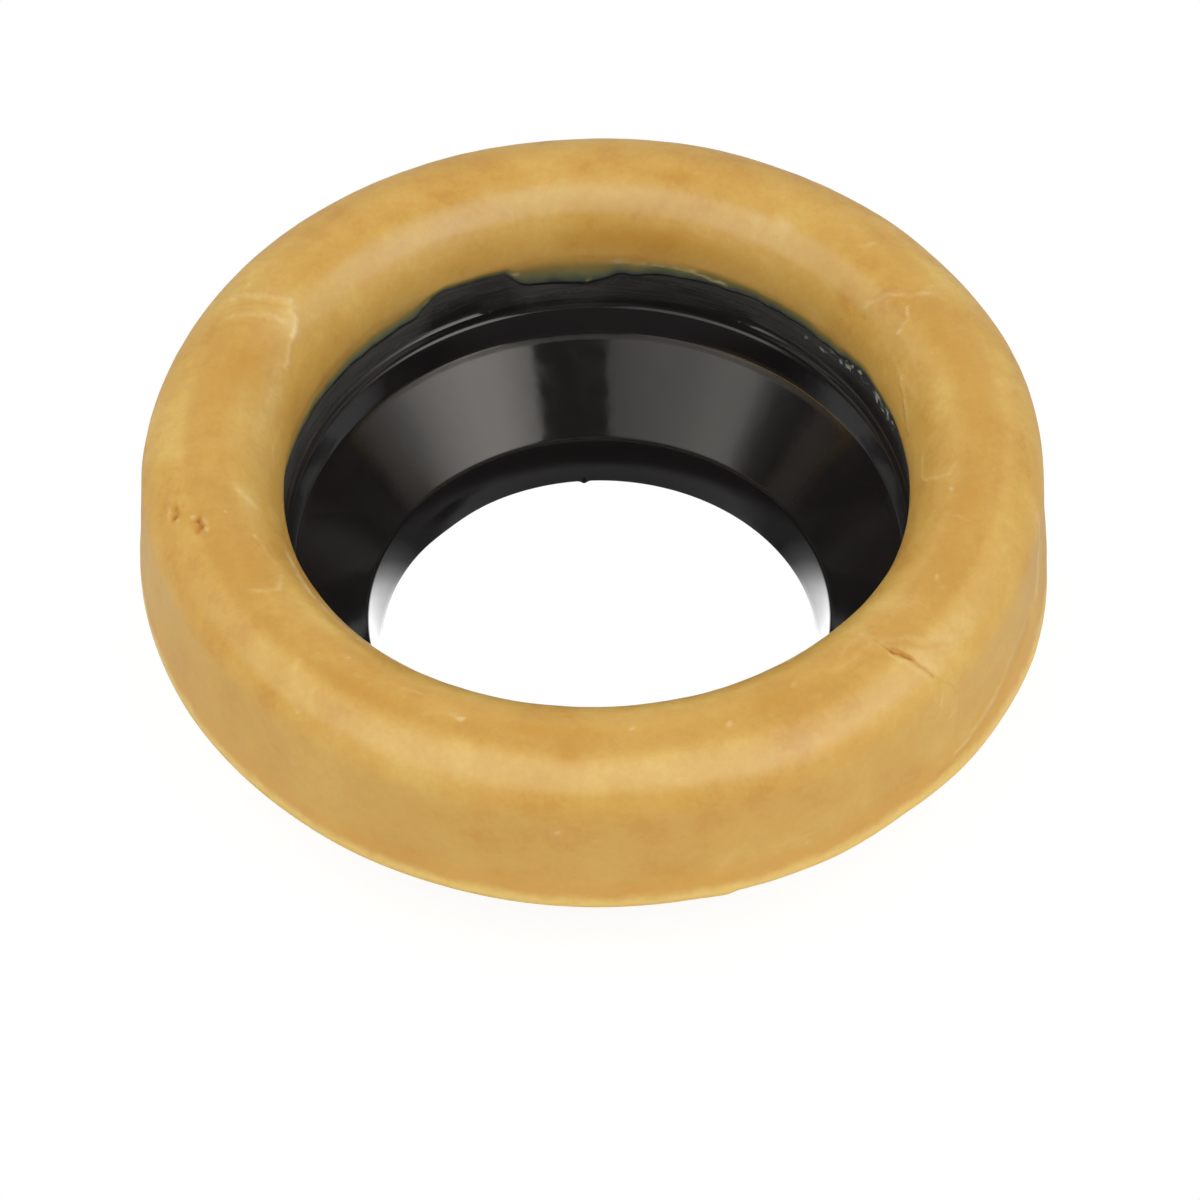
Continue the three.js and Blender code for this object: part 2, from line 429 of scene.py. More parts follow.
def hornSection(size):
    wall, ledgeRadius = size["wall"], size["bandTopRadius"] + size["ledgeStep"]
    collar, outside, underside = size["collar"], size["collarOutside"], size["brimUnderside"]
    corners = [
        (size["outletRadius"], 0, 0.5, 5),
        (size["outletRadius"] + wall, 0, 0.5, 5),
        (size["throatRadius"] + wall, size["spigotTop"] - wall / 2, size["throatRound"], 8),
        (size["coneTopRadius"] + wall, size["coneTop"] - wall / 2, 2.0, 6),
        (outside, size["lowerLedge"] - wall, 2.0, 4),
        (outside, underside, 0.6, 3),
        (brimRadius, underside, 0.6, 3),
        (brimRadius, brimTop, 0.6, 3),
        (collar, brimTop, 0.7, 4),
        (collar, size["upperLedge"] + size["ledgeTilt"], 0.04, 1),
        (ledgeRadius, size["upperLedge"], 0.1, 4),
        (ledgeRadius, size["lowerLedge"] + size["ledgeTilt"], 0.04, 1),
        (size["bandTopRadius"], size["lowerLedge"], 0.1, 4),
        (size["coneTopRadius"], size["coneTop"], 0.35, 4),
        (size["throatRadius"], size["spigotTop"], size["throatRound"], 12),
    ]
    return roundedCorners(corners)


def splitLong(section, longest):
    # adds points along a section's long straights, so that a mesh has even rows
    made = []
    for i, here in enumerate(section):
        after = section[(i + 1) % len(section)]
        pieces = max(1, math.ceil(np.linalg.norm(after - here) / longest))
        made += [here + (after - here) * k / pieces for k in range(pieces)]
    return np.array(made)


def makeHorn(size):
    section = splitLong(hornSection(size), size["rowSpacing"])
    turn = np.linspace(0, 2 * np.pi, size["columns"], endpoint=False)
    bearing = np.degrees(turn)
    radius = np.repeat(section[:, :1], len(turn), axis=1)
    height = np.repeat(section[:, 1:], len(turn), axis=1)
    offset = np.radians(bearing - size["nubBearing"]) * size["outletRadius"]
    bore = (section[:, 0] < size["outletRadius"] + 0.6)[:, None]
    nub = np.exp(-(offset[None, :] / size["nubSize"]) ** 2) * np.exp(-((height - 0.1) / 0.4) ** 2)
    swell = size["swell"] * np.exp(-((bearing - size["swellBearing"]) / 9) ** 2)
    swell = swell * (1 - ease(height, 2, 7))
    radius = radius - (0.5 * nub + swell) * bore
    filled = ease(bearing, size["filledFrom"] - 4, size["filledFrom"] + 2)
    filled = filled * ease(-bearing, -size["filledTo"] - 1, -size["filledTo"] + 3)
    inside = (section[:, 0] < size["collar"] + 0.01)[:, None]
    sunk = 1 - ease(height, size["upperLedge"], size["upperLedge"] + 3)
    smooth = size["collar"] - size["ledgeStep"] * sunk
    radius += (np.minimum(radius, smooth) - radius) * inside * filled[None, :]
    shift = size["castShift"] * ease(height, size["upperLedge"], size["upperLedge"] + 4)
    points = np.stack([radius * np.cos(turn) + shift, radius * np.sin(turn), height], -1)
    lip = aroundRing(lipLevels, bearing)[None, :]
    below = lip - height                      # mm below the wax's lip
    smear = (1 - ease(below, -1.5, 7)) * (height > size["lowerLedge"]) * inside
    smear = smear * (0.8 + 0.45 * np.abs(np.cos(turn)) + 0.5 * np.clip(-np.cos(turn), 0, 1))
    crust = np.exp(-((bearing - 31) / 18) ** 4) * np.exp(-((below - 0.8) / 1.5) ** 2) * inside
    crust += 0.5 * np.exp(-((bearing - 93) / 4) ** 2) * np.exp(-((below - 0.4) / 0.8) ** 2) * inside
    cone = ease(height, size["spigotTop"] - 0.3, size["spigotTop"] + 0.4)
    cone = cone * (height < size["coneTop"] - 0.1) * ease(np.sin(turn), 0.5, 0.72)
    # a fine witness line round the cone's top, with a little wax in it on the right
    witness = 0.7 * np.exp(-((height - size["coneTop"] - 0.01) / 0.06) ** 2) * inside
    witness = witness * ease(bearing, 26, 36) * ease(-bearing, -74, -56)
    made = gridMesh("horn_moulding", points, {"smear": smear, "crust": crust, "cone": cone * inside,
                                              "witness": witness})
    cutters = bmesh.new()
    for place in keyPlaces(size["keyCount"], size["keyPitch"], size["castShift"]):
        addPeg(cutters, size["keyHoleRadius"], size["brimUnderside"] - 1, brimTop + 1, place)
    holes = bpy.data.objects.new("holes", bpy.data.meshes.new("holes"))
    cutters.to_mesh(holes.data)
    cutters.free()
    bpy.context.scene.collection.objects.link(holes)
    cut = made.modifiers.new("brim holes", "BOOLEAN")
    cut.operation, cut.solver, cut.object = "DIFFERENCE", "EXACT", holes
    whole = bpy.data.meshes.new_from_object(made.evaluated_get(bpy.context.evaluated_depsgraph_get()))
    made.modifiers.clear()
    made.data = whole
    bpy.data.objects.remove(holes)
    return made


hornPiece = makeHorn(horn)
print("horn made", len(hornPiece.data.polygons))


# wax ring

wax = {                          # mm
    "baseRadius": 63.5, "lean": 1.4, "wallHeight": 16.0, "crownRadius": 52.6, "crownPower": 1.85,
    "lipRadius": 43.3, "lipHeight": 35.1, "columns": 690, "clearance": 0.3,
    "faceShift": -0.2,           # the crown and wall, further off the axis in X than the collar
    "relief": ((30, 0.06, 3), (11, 0.028, 4), (4, 0.012, 5)),  # wavelength, height, seed
}

# how far the wall stands out of round: bearing, mm
wallOffsets = (
    (-170, 0.2), (-160, 0.0), (-150, -0.04), (-140, -0.15), (-130, -0.12), (-120, 0.08), (-110, 0.12),
    (-100, 0.28), (-90, 0.38), (-80, 0.39), (-70, 0.5), (-60, 0.45), (-50, -0.1), (-40, 0.05), (-30, -0.22),
    (-20, -0.34), (-10, -0.48), (0, -0.26), (10, -0.06), (20, -0.1), (40, 0.0), (60, 0.0), (80, 0.1),
    (100, 0.0), (120, 0.1), (140, 0.1), (160, 0.15), (180, 0.38),
)
# how far the crown's inner shoulder stands in towards the bore: bearing, mm
shoulderOffsets = (
    (-180, 0.0), (-120, 0.0), (-105, 0.08), (-90, 0.28), (-75, 0.36), (-60, 0.42), (-48, 0.38),
    (-30, 0.2), (0, 0.0),
)
# how far the flash at the foot stands out past the wall: bearing, mm
flashWidths = (
    (-180, 0.1), (-120, 0.12), (-78, 0.2), (-74.5, 0.45), (-73, 0.1), (-66, 0.15), (-50, 0.4), (-35, 0.75),
    (-20, 0.95), (-11, 0.7), (-4, 0.2), (30, 0.1),
)

# marks that follow a path of (bearing, mm up the section from the foot): width and height of the ridge
# or groove in mm, how pale and how amber it is, and the path; pale is mostly scraped wax and in places a
# painted highlight, amber is the wax's own and in places painted shade
waxLines = (
    # crease at the lower right, with its open core and its side branch; its amber is partly painted shade,
    # and a pale line below its core is a painted highlight
    (0.24, -0.2, 0.0, 0.65, ((-46.1, 29.7), (-45.7, 28.0), (-45.2, 26.4), (-44.0, 24.0), (-42.9, 20.8))),
    (0.24, -0.08, 0.0, 0.4, ((-42.9, 20.8), (-42.0, 19.0), (-41.2, 17.6), (-40.0, 15.0))),
    (0.36, -0.34, 0.0, 0.75, ((-45.3, 26.9), (-44.9, 25.8), (-44.3, 24.4))),
    # a small ridge below the crease's core, painted pale as a highlight
    (0.22, 0.08, 0.35, 0.0, ((-46.1, 26.8), (-45.6, 25.4), (-44.9, 23.8), (-43.8, 21.4))),
    (0.60, 0.10, 0.16, 0.0, ((-45.9, 28.6), (-46.4, 31.0), (-46.2, 33.4))),
    (0.60, 0.09, 0.16, 0.0, ((-44.6, 27.0), (-43.0, 25.0), (-42.4, 22.8), (-40.6, 19.6))),
    (0.30, -0.08, 0.0, 0.35, ((-45.6, 27.6), (-43.4, 25.9), (-40.6, 23.9), (-37.6, 22.2))),
    (0.55, 0.09, 0.22, 0.0, ((-45.0, 28.8), (-42.6, 26.8), (-39.8, 24.8), (-37.3, 22.9))),
    (0.30, -0.05, 0.0, 0.3, ((-54.0, 27.8), (-50.4, 28.1), (-47.6, 28.0))),
    (0.40, 0.05, 0.16, 0.0, ((-53.5, 28.9), (-50.0, 29.2), (-47.0, 29.6))),
    (0.40, 0.05, 0.16, 0.0, ((-52.0, 30.4), (-49.0, 31.4), (-46.0, 31.6))),
    # scrape at the upper left, its ridge and its streaks
    (0.90, 0.16, 0.34, 0.0, ((150.2, 32.0), (151.6, 33.8), (153.4, 34.9), (155.0, 35.3))),
    (0.45, 0.10, 0.34, 0.0, ((153.4, 35.2), (155.8, 35.6), (157.6, 36.1), (160.4, 36.9))),
    (0.30, 0.04, 0.50, 0.0, ((152.6, 34.6), (153.8, 35.4), (154.6, 35.3))),
    (0.70, 0.07, 0.34, 0.0, ((153.2, 24.0), (151.8, 28.0), (150.0, 31.6))),
    (0.45, -0.09, 0.0, 0.35, ((155.0, 24.6), (153.0, 28.4), (151.4, 32.2))),
    (0.60, 0.06, 0.30, 0.0, ((157.0, 26.0), (155.2, 29.2), (153.2, 33.4))),
    (0.45, -0.07, 0.0, 0.25, ((158.4, 27.0), (156.4, 30.0), (154.6, 33.0))),
    (1.2, 0.03, 0.18, 0.0, ((160.0, 36.2), (165.0, 36.0), (171.0, 36.4), (177.0, 35.4))),
    (0.35, 0.05, 0.22, 0.0, ((171.0, 40.2), (176.0, 39.8), (-178.0, 39.6))),
    # smears, the pale inner edge and the crescent at the lower left
    (0.6, 0.0, 0.6, 0.0, ((-156.0, 37.6), (-150.0, 36.9), (-140.0, 36.3), (-131.0, 36.1))),
    (0.6, 0.04, 0.24, 0.0, ((-168.5, 32.0), (-166.5, 33.4), (-165.3, 35.2))),
    (0.35, 0.14, 0.34, 0.0, ((-148.2, 27.3), (-146.4, 29.0), (-146.3, 30.9), (-149.1, 32.9))),
    (0.50, -0.10, 0.0, 0.22, ((-149.8, 28.4), (-148.4, 30.2), (-149.6, 31.8))),
    (0.30, 0.05, 0.24, 0.0, ((-158.4, 32.6), (-155.0, 33.0), (-151.5, 33.8))),
    # upper right
    (0.40, 0.10, 0.34, 0.0, ((35.1, 36.8), (33.9, 35.0), (33.1, 33.2), (29.8, 31.2), (29.2, 28.5))),
    (0.40, -0.06, 0.0, 0.3, ((34.6, 35.6), (32.8, 33.4), (30.8, 31.8))),
    (0.26, 0.06, 0.2, 0.0, ((29.7, 30.4), (30.0, 28.4), (30.2, 26.0))),
    (0.34, 0.12, 0.5, 0.0, ((28.4, 32.6), (26.8, 33.5), (26.0, 34.6), (25.9, 35.8))),
    (0.40, 0.05, 0.3, 0.0, ((43.0, 30.6), (42.2, 28.6))),
    (0.26, 0.12, 0.5, 0.0, ((18.6, 38.9), (17.5, 39.5), (14.5, 40.4), (11.7, 41.0), (6.7, 42.0))),
    (0.26, -0.10, 0.0, 0.7, ((17.2, 40.1), (14.2, 41.0), (11.4, 41.6), (8.0, 42.2))),
    (0.60, 0.06, 0.16, 0.0, ((26.8, 38.0), (20.0, 39.0), (14.0, 38.0))),
    (0.60, 0.04, 0.14, 0.0, ((24.0, 35.2), (19.0, 35.8), (14.0, 36.4))),
    # right
    (0.26, 0.12, 0.42, 0.0, (
        (-0.8, 39.4), (-4.9, 39.2), (-7.4, 37.8), (-8.5, 35.8), (-8.7, 33.8), (-6.9, 33.0))),
    (0.26, 0.05, 0.2, 0.0, ((-17.8, 32.6), (-18.3, 30.8), (-18.8, 29.4))),
    (0.26, 0.05, 0.16, 0.0, ((-20.6, 33.6), (-21.0, 31.4))),
    # lower right: arcs, and the broken line along the top of the flash
    (0.26, 0.05, 0.3, 0.0, ((-42.9, 17.4), (-42.9, 15.6))),
    (0.26, 0.04, 0.28, 0.0, ((-40.0, 14.4), (-40.2, 12.0), (-42.4, 11.6))),
    (0.26, 0.04, 0.2, 0.0, ((-37.2, 13.4), (-38.0, 12.6))),
    (0.35, 0.08, 0.4, 0.0, ((-21.0, 8.6), (-26.6, 7.4), (-31.2, 5.8), (-35.1, 4.9), (-41.0, 3.8))),
    (0.80, -0.08, 0.0, 0.4, ((-19.0, 6.6), (-26.0, 5.6), (-31.0, 4.4), (-36.0, 3.6), (-44.0, 2.9))),
    (0.80, 0.08, 0.5, 0.0, ((-11.0, 18.8), (-12.0, 13.0), (-14.4, 7.2))),
    # front
    (0.20, 0.03, 0.3, 0.0, ((-63.2, 6.6), (-65.3, 6.4), (-67.7, 6.7))),
    (0.20, 0.03, 0.2, 0.0, ((-64.4, 5.6), (-68.0, 5.8))),
    (0.26, 0.04, 0.22, 0.0, ((-120.0, 29.6), (-116.5, 30.0))),
    (0.26, 0.05, 0.22, 0.0, ((-114.4, 27.2), (-111.4, 28.4), (-109.5, 28.2))),
    (0.26, -0.05, 0.0, 0.3, ((-126.2, 28.9), (-123.6, 29.4))),
    # pale torn edge over the collar, far side, and a shallow groove just up the slope from it whose amber
    # is painted shadow
    (0.24, 0.06, 0.9, 0.0, ((93.0, 45.3), (85.0, 45.7), (75.0, 45.5), (70.0, 45.7), (65.5, 46.2))),
    (0.50, -0.06, 0.0, 0.6, ((75.0, 44.6), (70.0, 44.7), (66.0, 45.1))),
)

# spots at (bearing, mm up the section): radius across and along in mm, height, pale, amber; in the pits
# and where the near crown's sheen breaks, the amber is painted shade
waxSpots = (
    # two pits at the lower left: dents whose brown cores are partly painted shade
    (-166.7, 22.7, 1.15, 0.62, -0.35, 0.0, 1.3), (-167.6, 23.0, 0.35, 0.35, -0.15, 0.0, 0.9),
    (-166.0, 22.4, 0.35, 0.35, -0.15, 0.0, 0.9), (-166.8, 22.7, 0.3, 0.25, 0.1, 0.1, -0.4),
    (-165.3, 22.9, 0.4, 0.3, 0.12, 0.5, 0.0), (-167.2, 21.8, 0.8, 0.22, 0.1, 0.4, 0.0),
    (-163.1, 25.3, 1.15, 0.7, -0.42, 0.0, 1.4), (-163.8, 25.6, 0.4, 0.35, -0.2, 0.0, 1.1),
    (-162.4, 25.7, 0.4, 0.3, -0.15, 0.0, 1.0), (-163.3, 24.9, 0.3, 0.25, 0.1, 0.2, -0.4),
    (-164.6, 25.0, 0.35, 0.35, 0.14, 0.45, 0.0), (-162.9, 26.3, 0.8, 0.22, 0.12, 0.5, 0.0),
    (-161.7, 25.0, 0.6, 0.5, 0.05, 0.0, 0.8), (-167.4, 24.0, 0.25, 0.25, -0.1, 0.0, 0.5),
    (-165.0, 24.0, 1.8, 1.4, 0.0, 0.0, 0.35), (-161.4, 26.2, 0.4, 0.3, 0.08, 0.5, 0.0),
    (-173.0, 23.0, 0.3, 0.3, -0.1, 0.0, 0.5), (-94.4, 31.6, 0.6, 0.3, -0.12, 0.0, 1.2),
    (150.0, 24.8, 0.25, 0.25, 0.06, 0.6, 0.0), (151.6, 34.4, 0.6, 0.5, 0.1, 0.35, 0.0),
    (154.4, 32.0, 4.5, 2.6, -0.06, 0.2, 0.0), (164.0, 31.8, 4.5, 3.0, -0.05, 0.0, 0.5),
    (171.0, 27.5, 6.5, 5.0, 0.0, 0.0, 0.4), (167.5, 37.5, 5.0, 1.6, 0.04, 0.2, 0.0),
    (-178.0, 37.0, 6.0, 1.8, 0.0, 0.16, 0.0), (-163.7, 29.2, 0.25, 0.25, 0.06, 0.5, 0.0),
    (-166.0, 33.6, 1.8, 1.2, 0.03, 0.24, 0.0), (-158.4, 32.3, 0.3, 0.3, 0.06, 0.5, 0.0),
    (-152.0, 30.0, 3.6, 2.4, 0.0, 0.0, 0.35), (-155.0, 24.0, 5.0, 4.0, 0.0, 0.0, 0.25),
    (-133.1, 27.5, 0.25, 0.25, 0.05, 0.4, 0.0), (-129.3, 29.9, 0.3, 0.3, 0.05, 0.4, 0.0),
    (-134.1, 25.4, 0.25, 0.25, 0.05, 0.6, 0.0), (-125.9, 28.3, 0.3, 0.3, 0.06, 0.4, 0.0),
    (-130.4, 19.8, 0.3, 0.3, 0.06, 0.8, 0.0), (-130.2, 11.0, 0.6, 0.6, 0.0, 0.3, 0.0),
    (-109.5, 28.0, 0.4, 0.3, 0.08, 0.7, 0.0), (-94.7, 14.5, 0.3, 0.3, 0.06, 0.8, 0.0),
    (-90.6, 13.0, 0.3, 0.3, 0.04, 0.4, 0.0), (-85.2, 29.3, 0.4, 0.3, 0.08, 0.6, 0.0),
    (-71.9, 27.5, 0.35, 0.35, 0.08, 0.7, 0.0), (-60.6, 29.9, 0.35, 0.35, 0.06, 0.5, 0.0),
    (-58.9, 27.0, 0.3, 0.3, 0.06, 0.4, 0.0), (-12.2, 33.0, 0.4, 0.26, 0.08, 0.8, 0.0),
    (-31.1, 29.5, 0.4, 0.26, 0.08, 0.6, 0.0), (-31.8, 28.2, 0.35, 0.3, 0.06, 0.3, 0.0),
    (-39.0, 31.4, 3.0, 2.6, 0.05, 0.14, 0.0), (-40.4, 29.3, 1.6, 1.1, -0.12, 0.0, 0.5),
    (17.0, 29.6, 8.0, 3.2, -0.06, 0.0, 0.42), (3.0, 29.2, 7.0, 2.8, -0.05, 0.0, 0.4),
    (-14.0, 30.2, 8.0, 2.4, -0.04, 0.0, 0.42), (-26.0, 30.5, 7.0, 2.4, 0.0, 0.0, 0.25),
    (57.1, 33.2, 1.6, 1.2, 0.0, 0.35, 0.0), (62.0, 34.2, 1.4, 1.2, 0.0, 0.28, 0.0),
    (76.0, 41.0, 9.0, 2.4, 0.0, 0.0, 0.6), (92.0, 41.0, 7.0, 2.4, 0.0, 0.0, 0.45),
    (77.0, 31.2, 3.6, 1.2, 0.0, 0.0, 0.5), (66.0, 29.0, 6.0, 3.0, 0.0, 0.0, 0.25),
    (36.0, 28.5, 6.0, 2.6, 0.0, 0.0, 0.3), (112.0, 28.0, 6.0, 2.6, 0.0, 0.0, 0.3),
    # the long amber spots along the near crown's top, and the dent at bearing -94 where its sheen breaks,
    # are partly painted shade where the sheen misses
    (-94.0, 25.4, 2.6, 1.8, -0.12, 0.0, 0.6), (-100.0, 28.6, 9.0, 1.2, 0.0, 0.0, 0.4),
    (-117.0, 26.6, 11.0, 1.4, 0.0, 0.0, 0.32), (-132.0, 26.2, 9.0, 1.4, 0.0, 0.0, 0.3),
    (-78.0, 27.8, 8.0, 1.4, 0.0, 0.0, 0.3), (-64.0, 28.4, 8.0, 1.6, 0.0, 0.0, 0.3),
    (106.4, 46.8, 0.4, 0.3, 0.06, 1.3, 0.0), (92.0, 49.8, 0.3, 0.25, 0.05, 0.6, 0.0),
    (66.4, 45.9, 0.4, 0.25, 0.06, 0.9, 0.0), (124.5, 46.4, 0.4, 0.3, 0.05, 0.6, 0.0),
)


def waxFace(size):
    # the part of the section that shows: up the wall, over the crown and down to the lip
    a = np.linspace(0, np.pi / 2, 500)
    power = 2 / size["crownPower"]
    topRadius, wallTop = size["baseRadius"] - size["lean"], waxBase + size["wallHeight"]
    crownRadius, lipRadius, lipHeight = size["crownRadius"], size["lipRadius"], size["lipHeight"]
    outer = np.stack([crownRadius + (topRadius - crownRadius) * np.cos(a) ** power,
                      wallTop + (waxCrown - wallTop) * np.sin(a) ** power], -1)
    inner = np.stack([crownRadius - (crownRadius - lipRadius) * np.sin(a) ** power,
                      lipHeight + (waxCrown - lipHeight) * np.cos(a) ** power], -1)
    face = np.vstack([[[size["baseRadius"], waxBase]], outer, inner[1:]])
    along = np.concatenate([[0], np.cumsum(np.hypot(*np.diff(face, axis=0).T))])
    return face, along


def pathDistance(bearing, along, radius, path):
    # mm from each point of the grid to a path over the surface
    nearest = np.full(along.shape, 1e3)
    for (b0, s0), (b1, s1) in zip(path, path[1:]):
        turned = (bearing - b0 + 180) % 360 - 180
        u, v = np.radians(turned) * radius, along - s0
        du, dv = np.radians((b1 - b0 + 180) % 360 - 180) * radius, s1 - s0
        t = np.clip((u * du + v * dv) / (du * du + dv * dv), 0, 1)
        nearest = np.minimum(nearest, np.hypot(u - t * du, v - t * dv))
    return nearest


def makeWaxRing(size):
    face, faceAlong = waxFace(size)
    total = faceAlong[-1]
    rows = spacedBy(0.35, total, 104, ((15, 40, 1.8),))
    turn = np.radians(spacedBy(-180, 180, size["columns"], (
        (-169, -160, 3.0), (-152, -144, 1.5), (-135, -108, 1.3), (-56, -47, 1.5), (-47, -40, 4.0),
        (-40, 24, 1.5), (24, 46, 1.4), (60, 108, 1.4), (148, 162, 2.4))))
    bearing = np.degrees(turn)
    lip = aroundRing(lipLevels, bearing)
    lip = lip + 0.22 * waves(np.stack([turn * 44, 0 * turn, 0 * turn], -1), 3.5, 8)
    hang = np.linspace(0, 1, 8)[1:, None]
    r = np.interp(rows, faceAlong, face[:, 0])[:, None] + 0 * turn
    z = np.interp(rows, faceAlong, face[:, 1])[:, None] + 0 * turn
    overCollar = horn["collar"] - 0.1 - size["lipRadius"]
    r = np.vstack([r, size["lipRadius"] + overCollar * hang ** 0.6 + 0 * turn])
    z = np.vstack([z, size["lipHeight"] + (lip - size["lipHeight"]) * hang])
    along = np.vstack([rows[:, None] + 0 * turn, total + (size["lipHeight"] - lip) * hang])
    # outward normals, from the smooth section
    dr, dz = np.gradient(r, axis=0), np.gradient(z, axis=0)
    length = np.hypot(dr, dz)
    normalR, normalZ = dz / length, -dr / length
    place = np.stack([r * np.cos(turn), r * np.sin(turn), z], -1)
    relief = sum(height * waves(place, wavelength, seed) for wavelength, height, seed in size["relief"])
    relief *= ease(along, 0, 3) * ease(total + 1 - along, 0, 5)
    paleAndGlint, amberAndShade = np.zeros_like(along), np.zeros_like(along)
    # marks wander a little and break up, as scraped wax does
    strayBearing = bearing + np.degrees((0.14 * waves(place, 4, 11) + 0.07 * waves(place, 1.6, 12)) / r)
    strayAlong = along + 0.14 * waves(place, 4, 13) + 0.07 * waves(place, 1.6, 14)
    # their places are as seen on a ring that is not shifted
    off = horn["castShift"] + size["faceShift"]
    strayBearing = strayBearing + np.degrees(-off * np.sin(turn) / r)
    strayAlong = strayAlong - off * np.cos(turn) * normalZ
    broken = 0.6 + 0.5 * ease(waves(place, 2.4, 15) + 0.6 * waves(place, 1.1, 16), -0.7, 0.8)
    for width, height, paleAndGlintAmount, amberAndShadeAmount, path in waxLines:
        mark = np.exp(-(pathDistance(strayBearing, strayAlong, r, path) / width) ** 2)
        relief += height * mark
        paleAndGlint += paleAndGlintAmount * mark * broken
        amberAndShade += amberAndShadeAmount * mark
    for spotBearing, spotAlong, across, up, height, paleAndGlintAmount, amberAndShadeAmount in waxSpots:
        u = np.radians((strayBearing - spotBearing + 180) % 360 - 180) * r / across
        mark = np.exp(-(u ** 2 + ((strayAlong - spotAlong) / up) ** 2))
        relief += height * mark
        paleAndGlint += paleAndGlintAmount * mark
        amberAndShade += amberAndShadeAmount * mark
    out = aroundRing(wallOffsets, bearing) * (1 - ease(along, 16, 29))
    flash = aroundRing(flashWidths, bearing) * np.clip(1 - along / 6.5, 0, 1) ** 0.8
    shoulder = aroundRing(shoulderOffsets, bearing) * ease(along, 27, 33) * ease(-along, -44, -37)
    relief = relief + shoulder
    r, z = r + normalR * relief + out + flash, z + normalZ * relief
    # slot for the collar and the brim, then the underside; none of it can be seen from above
    bore = horn["collarOutside"] + size["clearance"]
    slotLow, slotHigh = horn["brimUnderside"] - size["clearance"], brimTop + size["clearance"]
    slotEnd = brimRadius + size["clearance"]
    hidden = np.array([
        (horn["collar"] - 0.02, 34.5), (horn["collar"] + 0.2, slotHigh), (49.5, slotHigh),
        (slotEnd, slotHigh), (slotEnd, slotLow), (50.5, slotLow), (bore, slotLow), (bore, 28.0),
        (bore, waxBase), (50.0, waxBase), (55.0, waxBase), (60.0, waxBase),
        (size["baseRadius"] - 0.9, waxBase), (size["baseRadius"] - 0.3, waxBase),
    ])
    extra = np.ones((len(hidden), 1)) * (out[:1] + flash[:1]) * (hidden[:, :1] > 60)
    r = np.vstack([r, hidden[:, :1] + extra])
    z = np.vstack([z, hidden[:, 1:] + 0 * turn])
    filler = np.zeros((len(hidden), len(turn)))
    edge = total + size["lipHeight"] - lip - along      # mm up from the ragged lip
    thin = np.vstack([1 - np.clip(edge / aroundRing(thinWidths, bearing), 0, 1), filler])
    shift = horn["castShift"] + size["faceShift"] * np.vstack([1 - ease(along, 36, total), filler])
    points = np.stack([r * np.cos(turn) + shift, r * np.sin(turn), z], -1)
    made = gridMesh("wax_casting", points, {
        "along": np.vstack([along, filler]), "thin": thin,
        "paleAndGlint": np.vstack([paleAndGlint, filler]), "amberAndShade": np.vstack([amberAndShade, filler])})
    whole = bmesh.new()
    whole.from_mesh(made.data)
    keyRadius, keyRoot = horn["keyHoleRadius"] - size["clearance"], 0.6
    for keyPlace in keyPlaces(horn["keyCount"], horn["keyPitch"], horn["castShift"]):
        addPeg(whole, keyRadius, slotLow - keyRoot, slotHigh + keyRoot, keyPlace)
    bmesh.ops.recalc_face_normals(whole, faces=whole.faces)
    whole.to_mesh(made.data)
    whole.free()
    return made


waxPiece = makeWaxRing(wax)
print("wax ring made", len(waxPiece.data.polygons))


# materials

def noise(tree, place, size, detail=3.0, roughness=0.5, distortion=0.0):
    # size in mm, because place is in mm
    return addNode(tree, "TexNoise", {"Vector": place, "Scale": 1 / size, "Detail": detail,
                                      "Roughness": roughness, "Distortion": distortion}).outputs["Fac"]


def blend(tree, amount, first, second, kind="MIX"):
    made = addNode(tree, "Mix", data_type="RGBA", blend_type=kind)
    for index, value in ((0, amount), (6, first), (7, second)):
        if isinstance(value, bpy.types.NodeSocket):
            tree.links.new(value, made.inputs[index])
        else:
            made.inputs[index].default_value = value
    return made.outputs[2]


def between(tree, value, low, high, toLow=0.0, toHigh=1.0):
    return addNode(tree, "MapRange", {"Value": value, "From Min": low, "From Max": high,
                                      "To Min": toLow, "To Max": toHigh},
                   interpolation_type="SMOOTHSTEP").outputs[0]


def sums(tree, operation, first, second):
    return addNode(tree, "Math", {0: first, 1: second}, operation=operation).outputs[0]


def millimetres(tree):
    way = addNode(tree, "TexCoord").outputs["Object"]
    return addNode(tree, "VectorMath", {0: way, "Scale": 1 / mm}, operation="SCALE").outputs[0]


def attribute(tree, label):
    return addNode(tree, "Attribute", attribute_name=label).outputs["Fac"]


glossTilt = 0.172                # how steeply the cone's gloss is tipped up, about 10 degrees


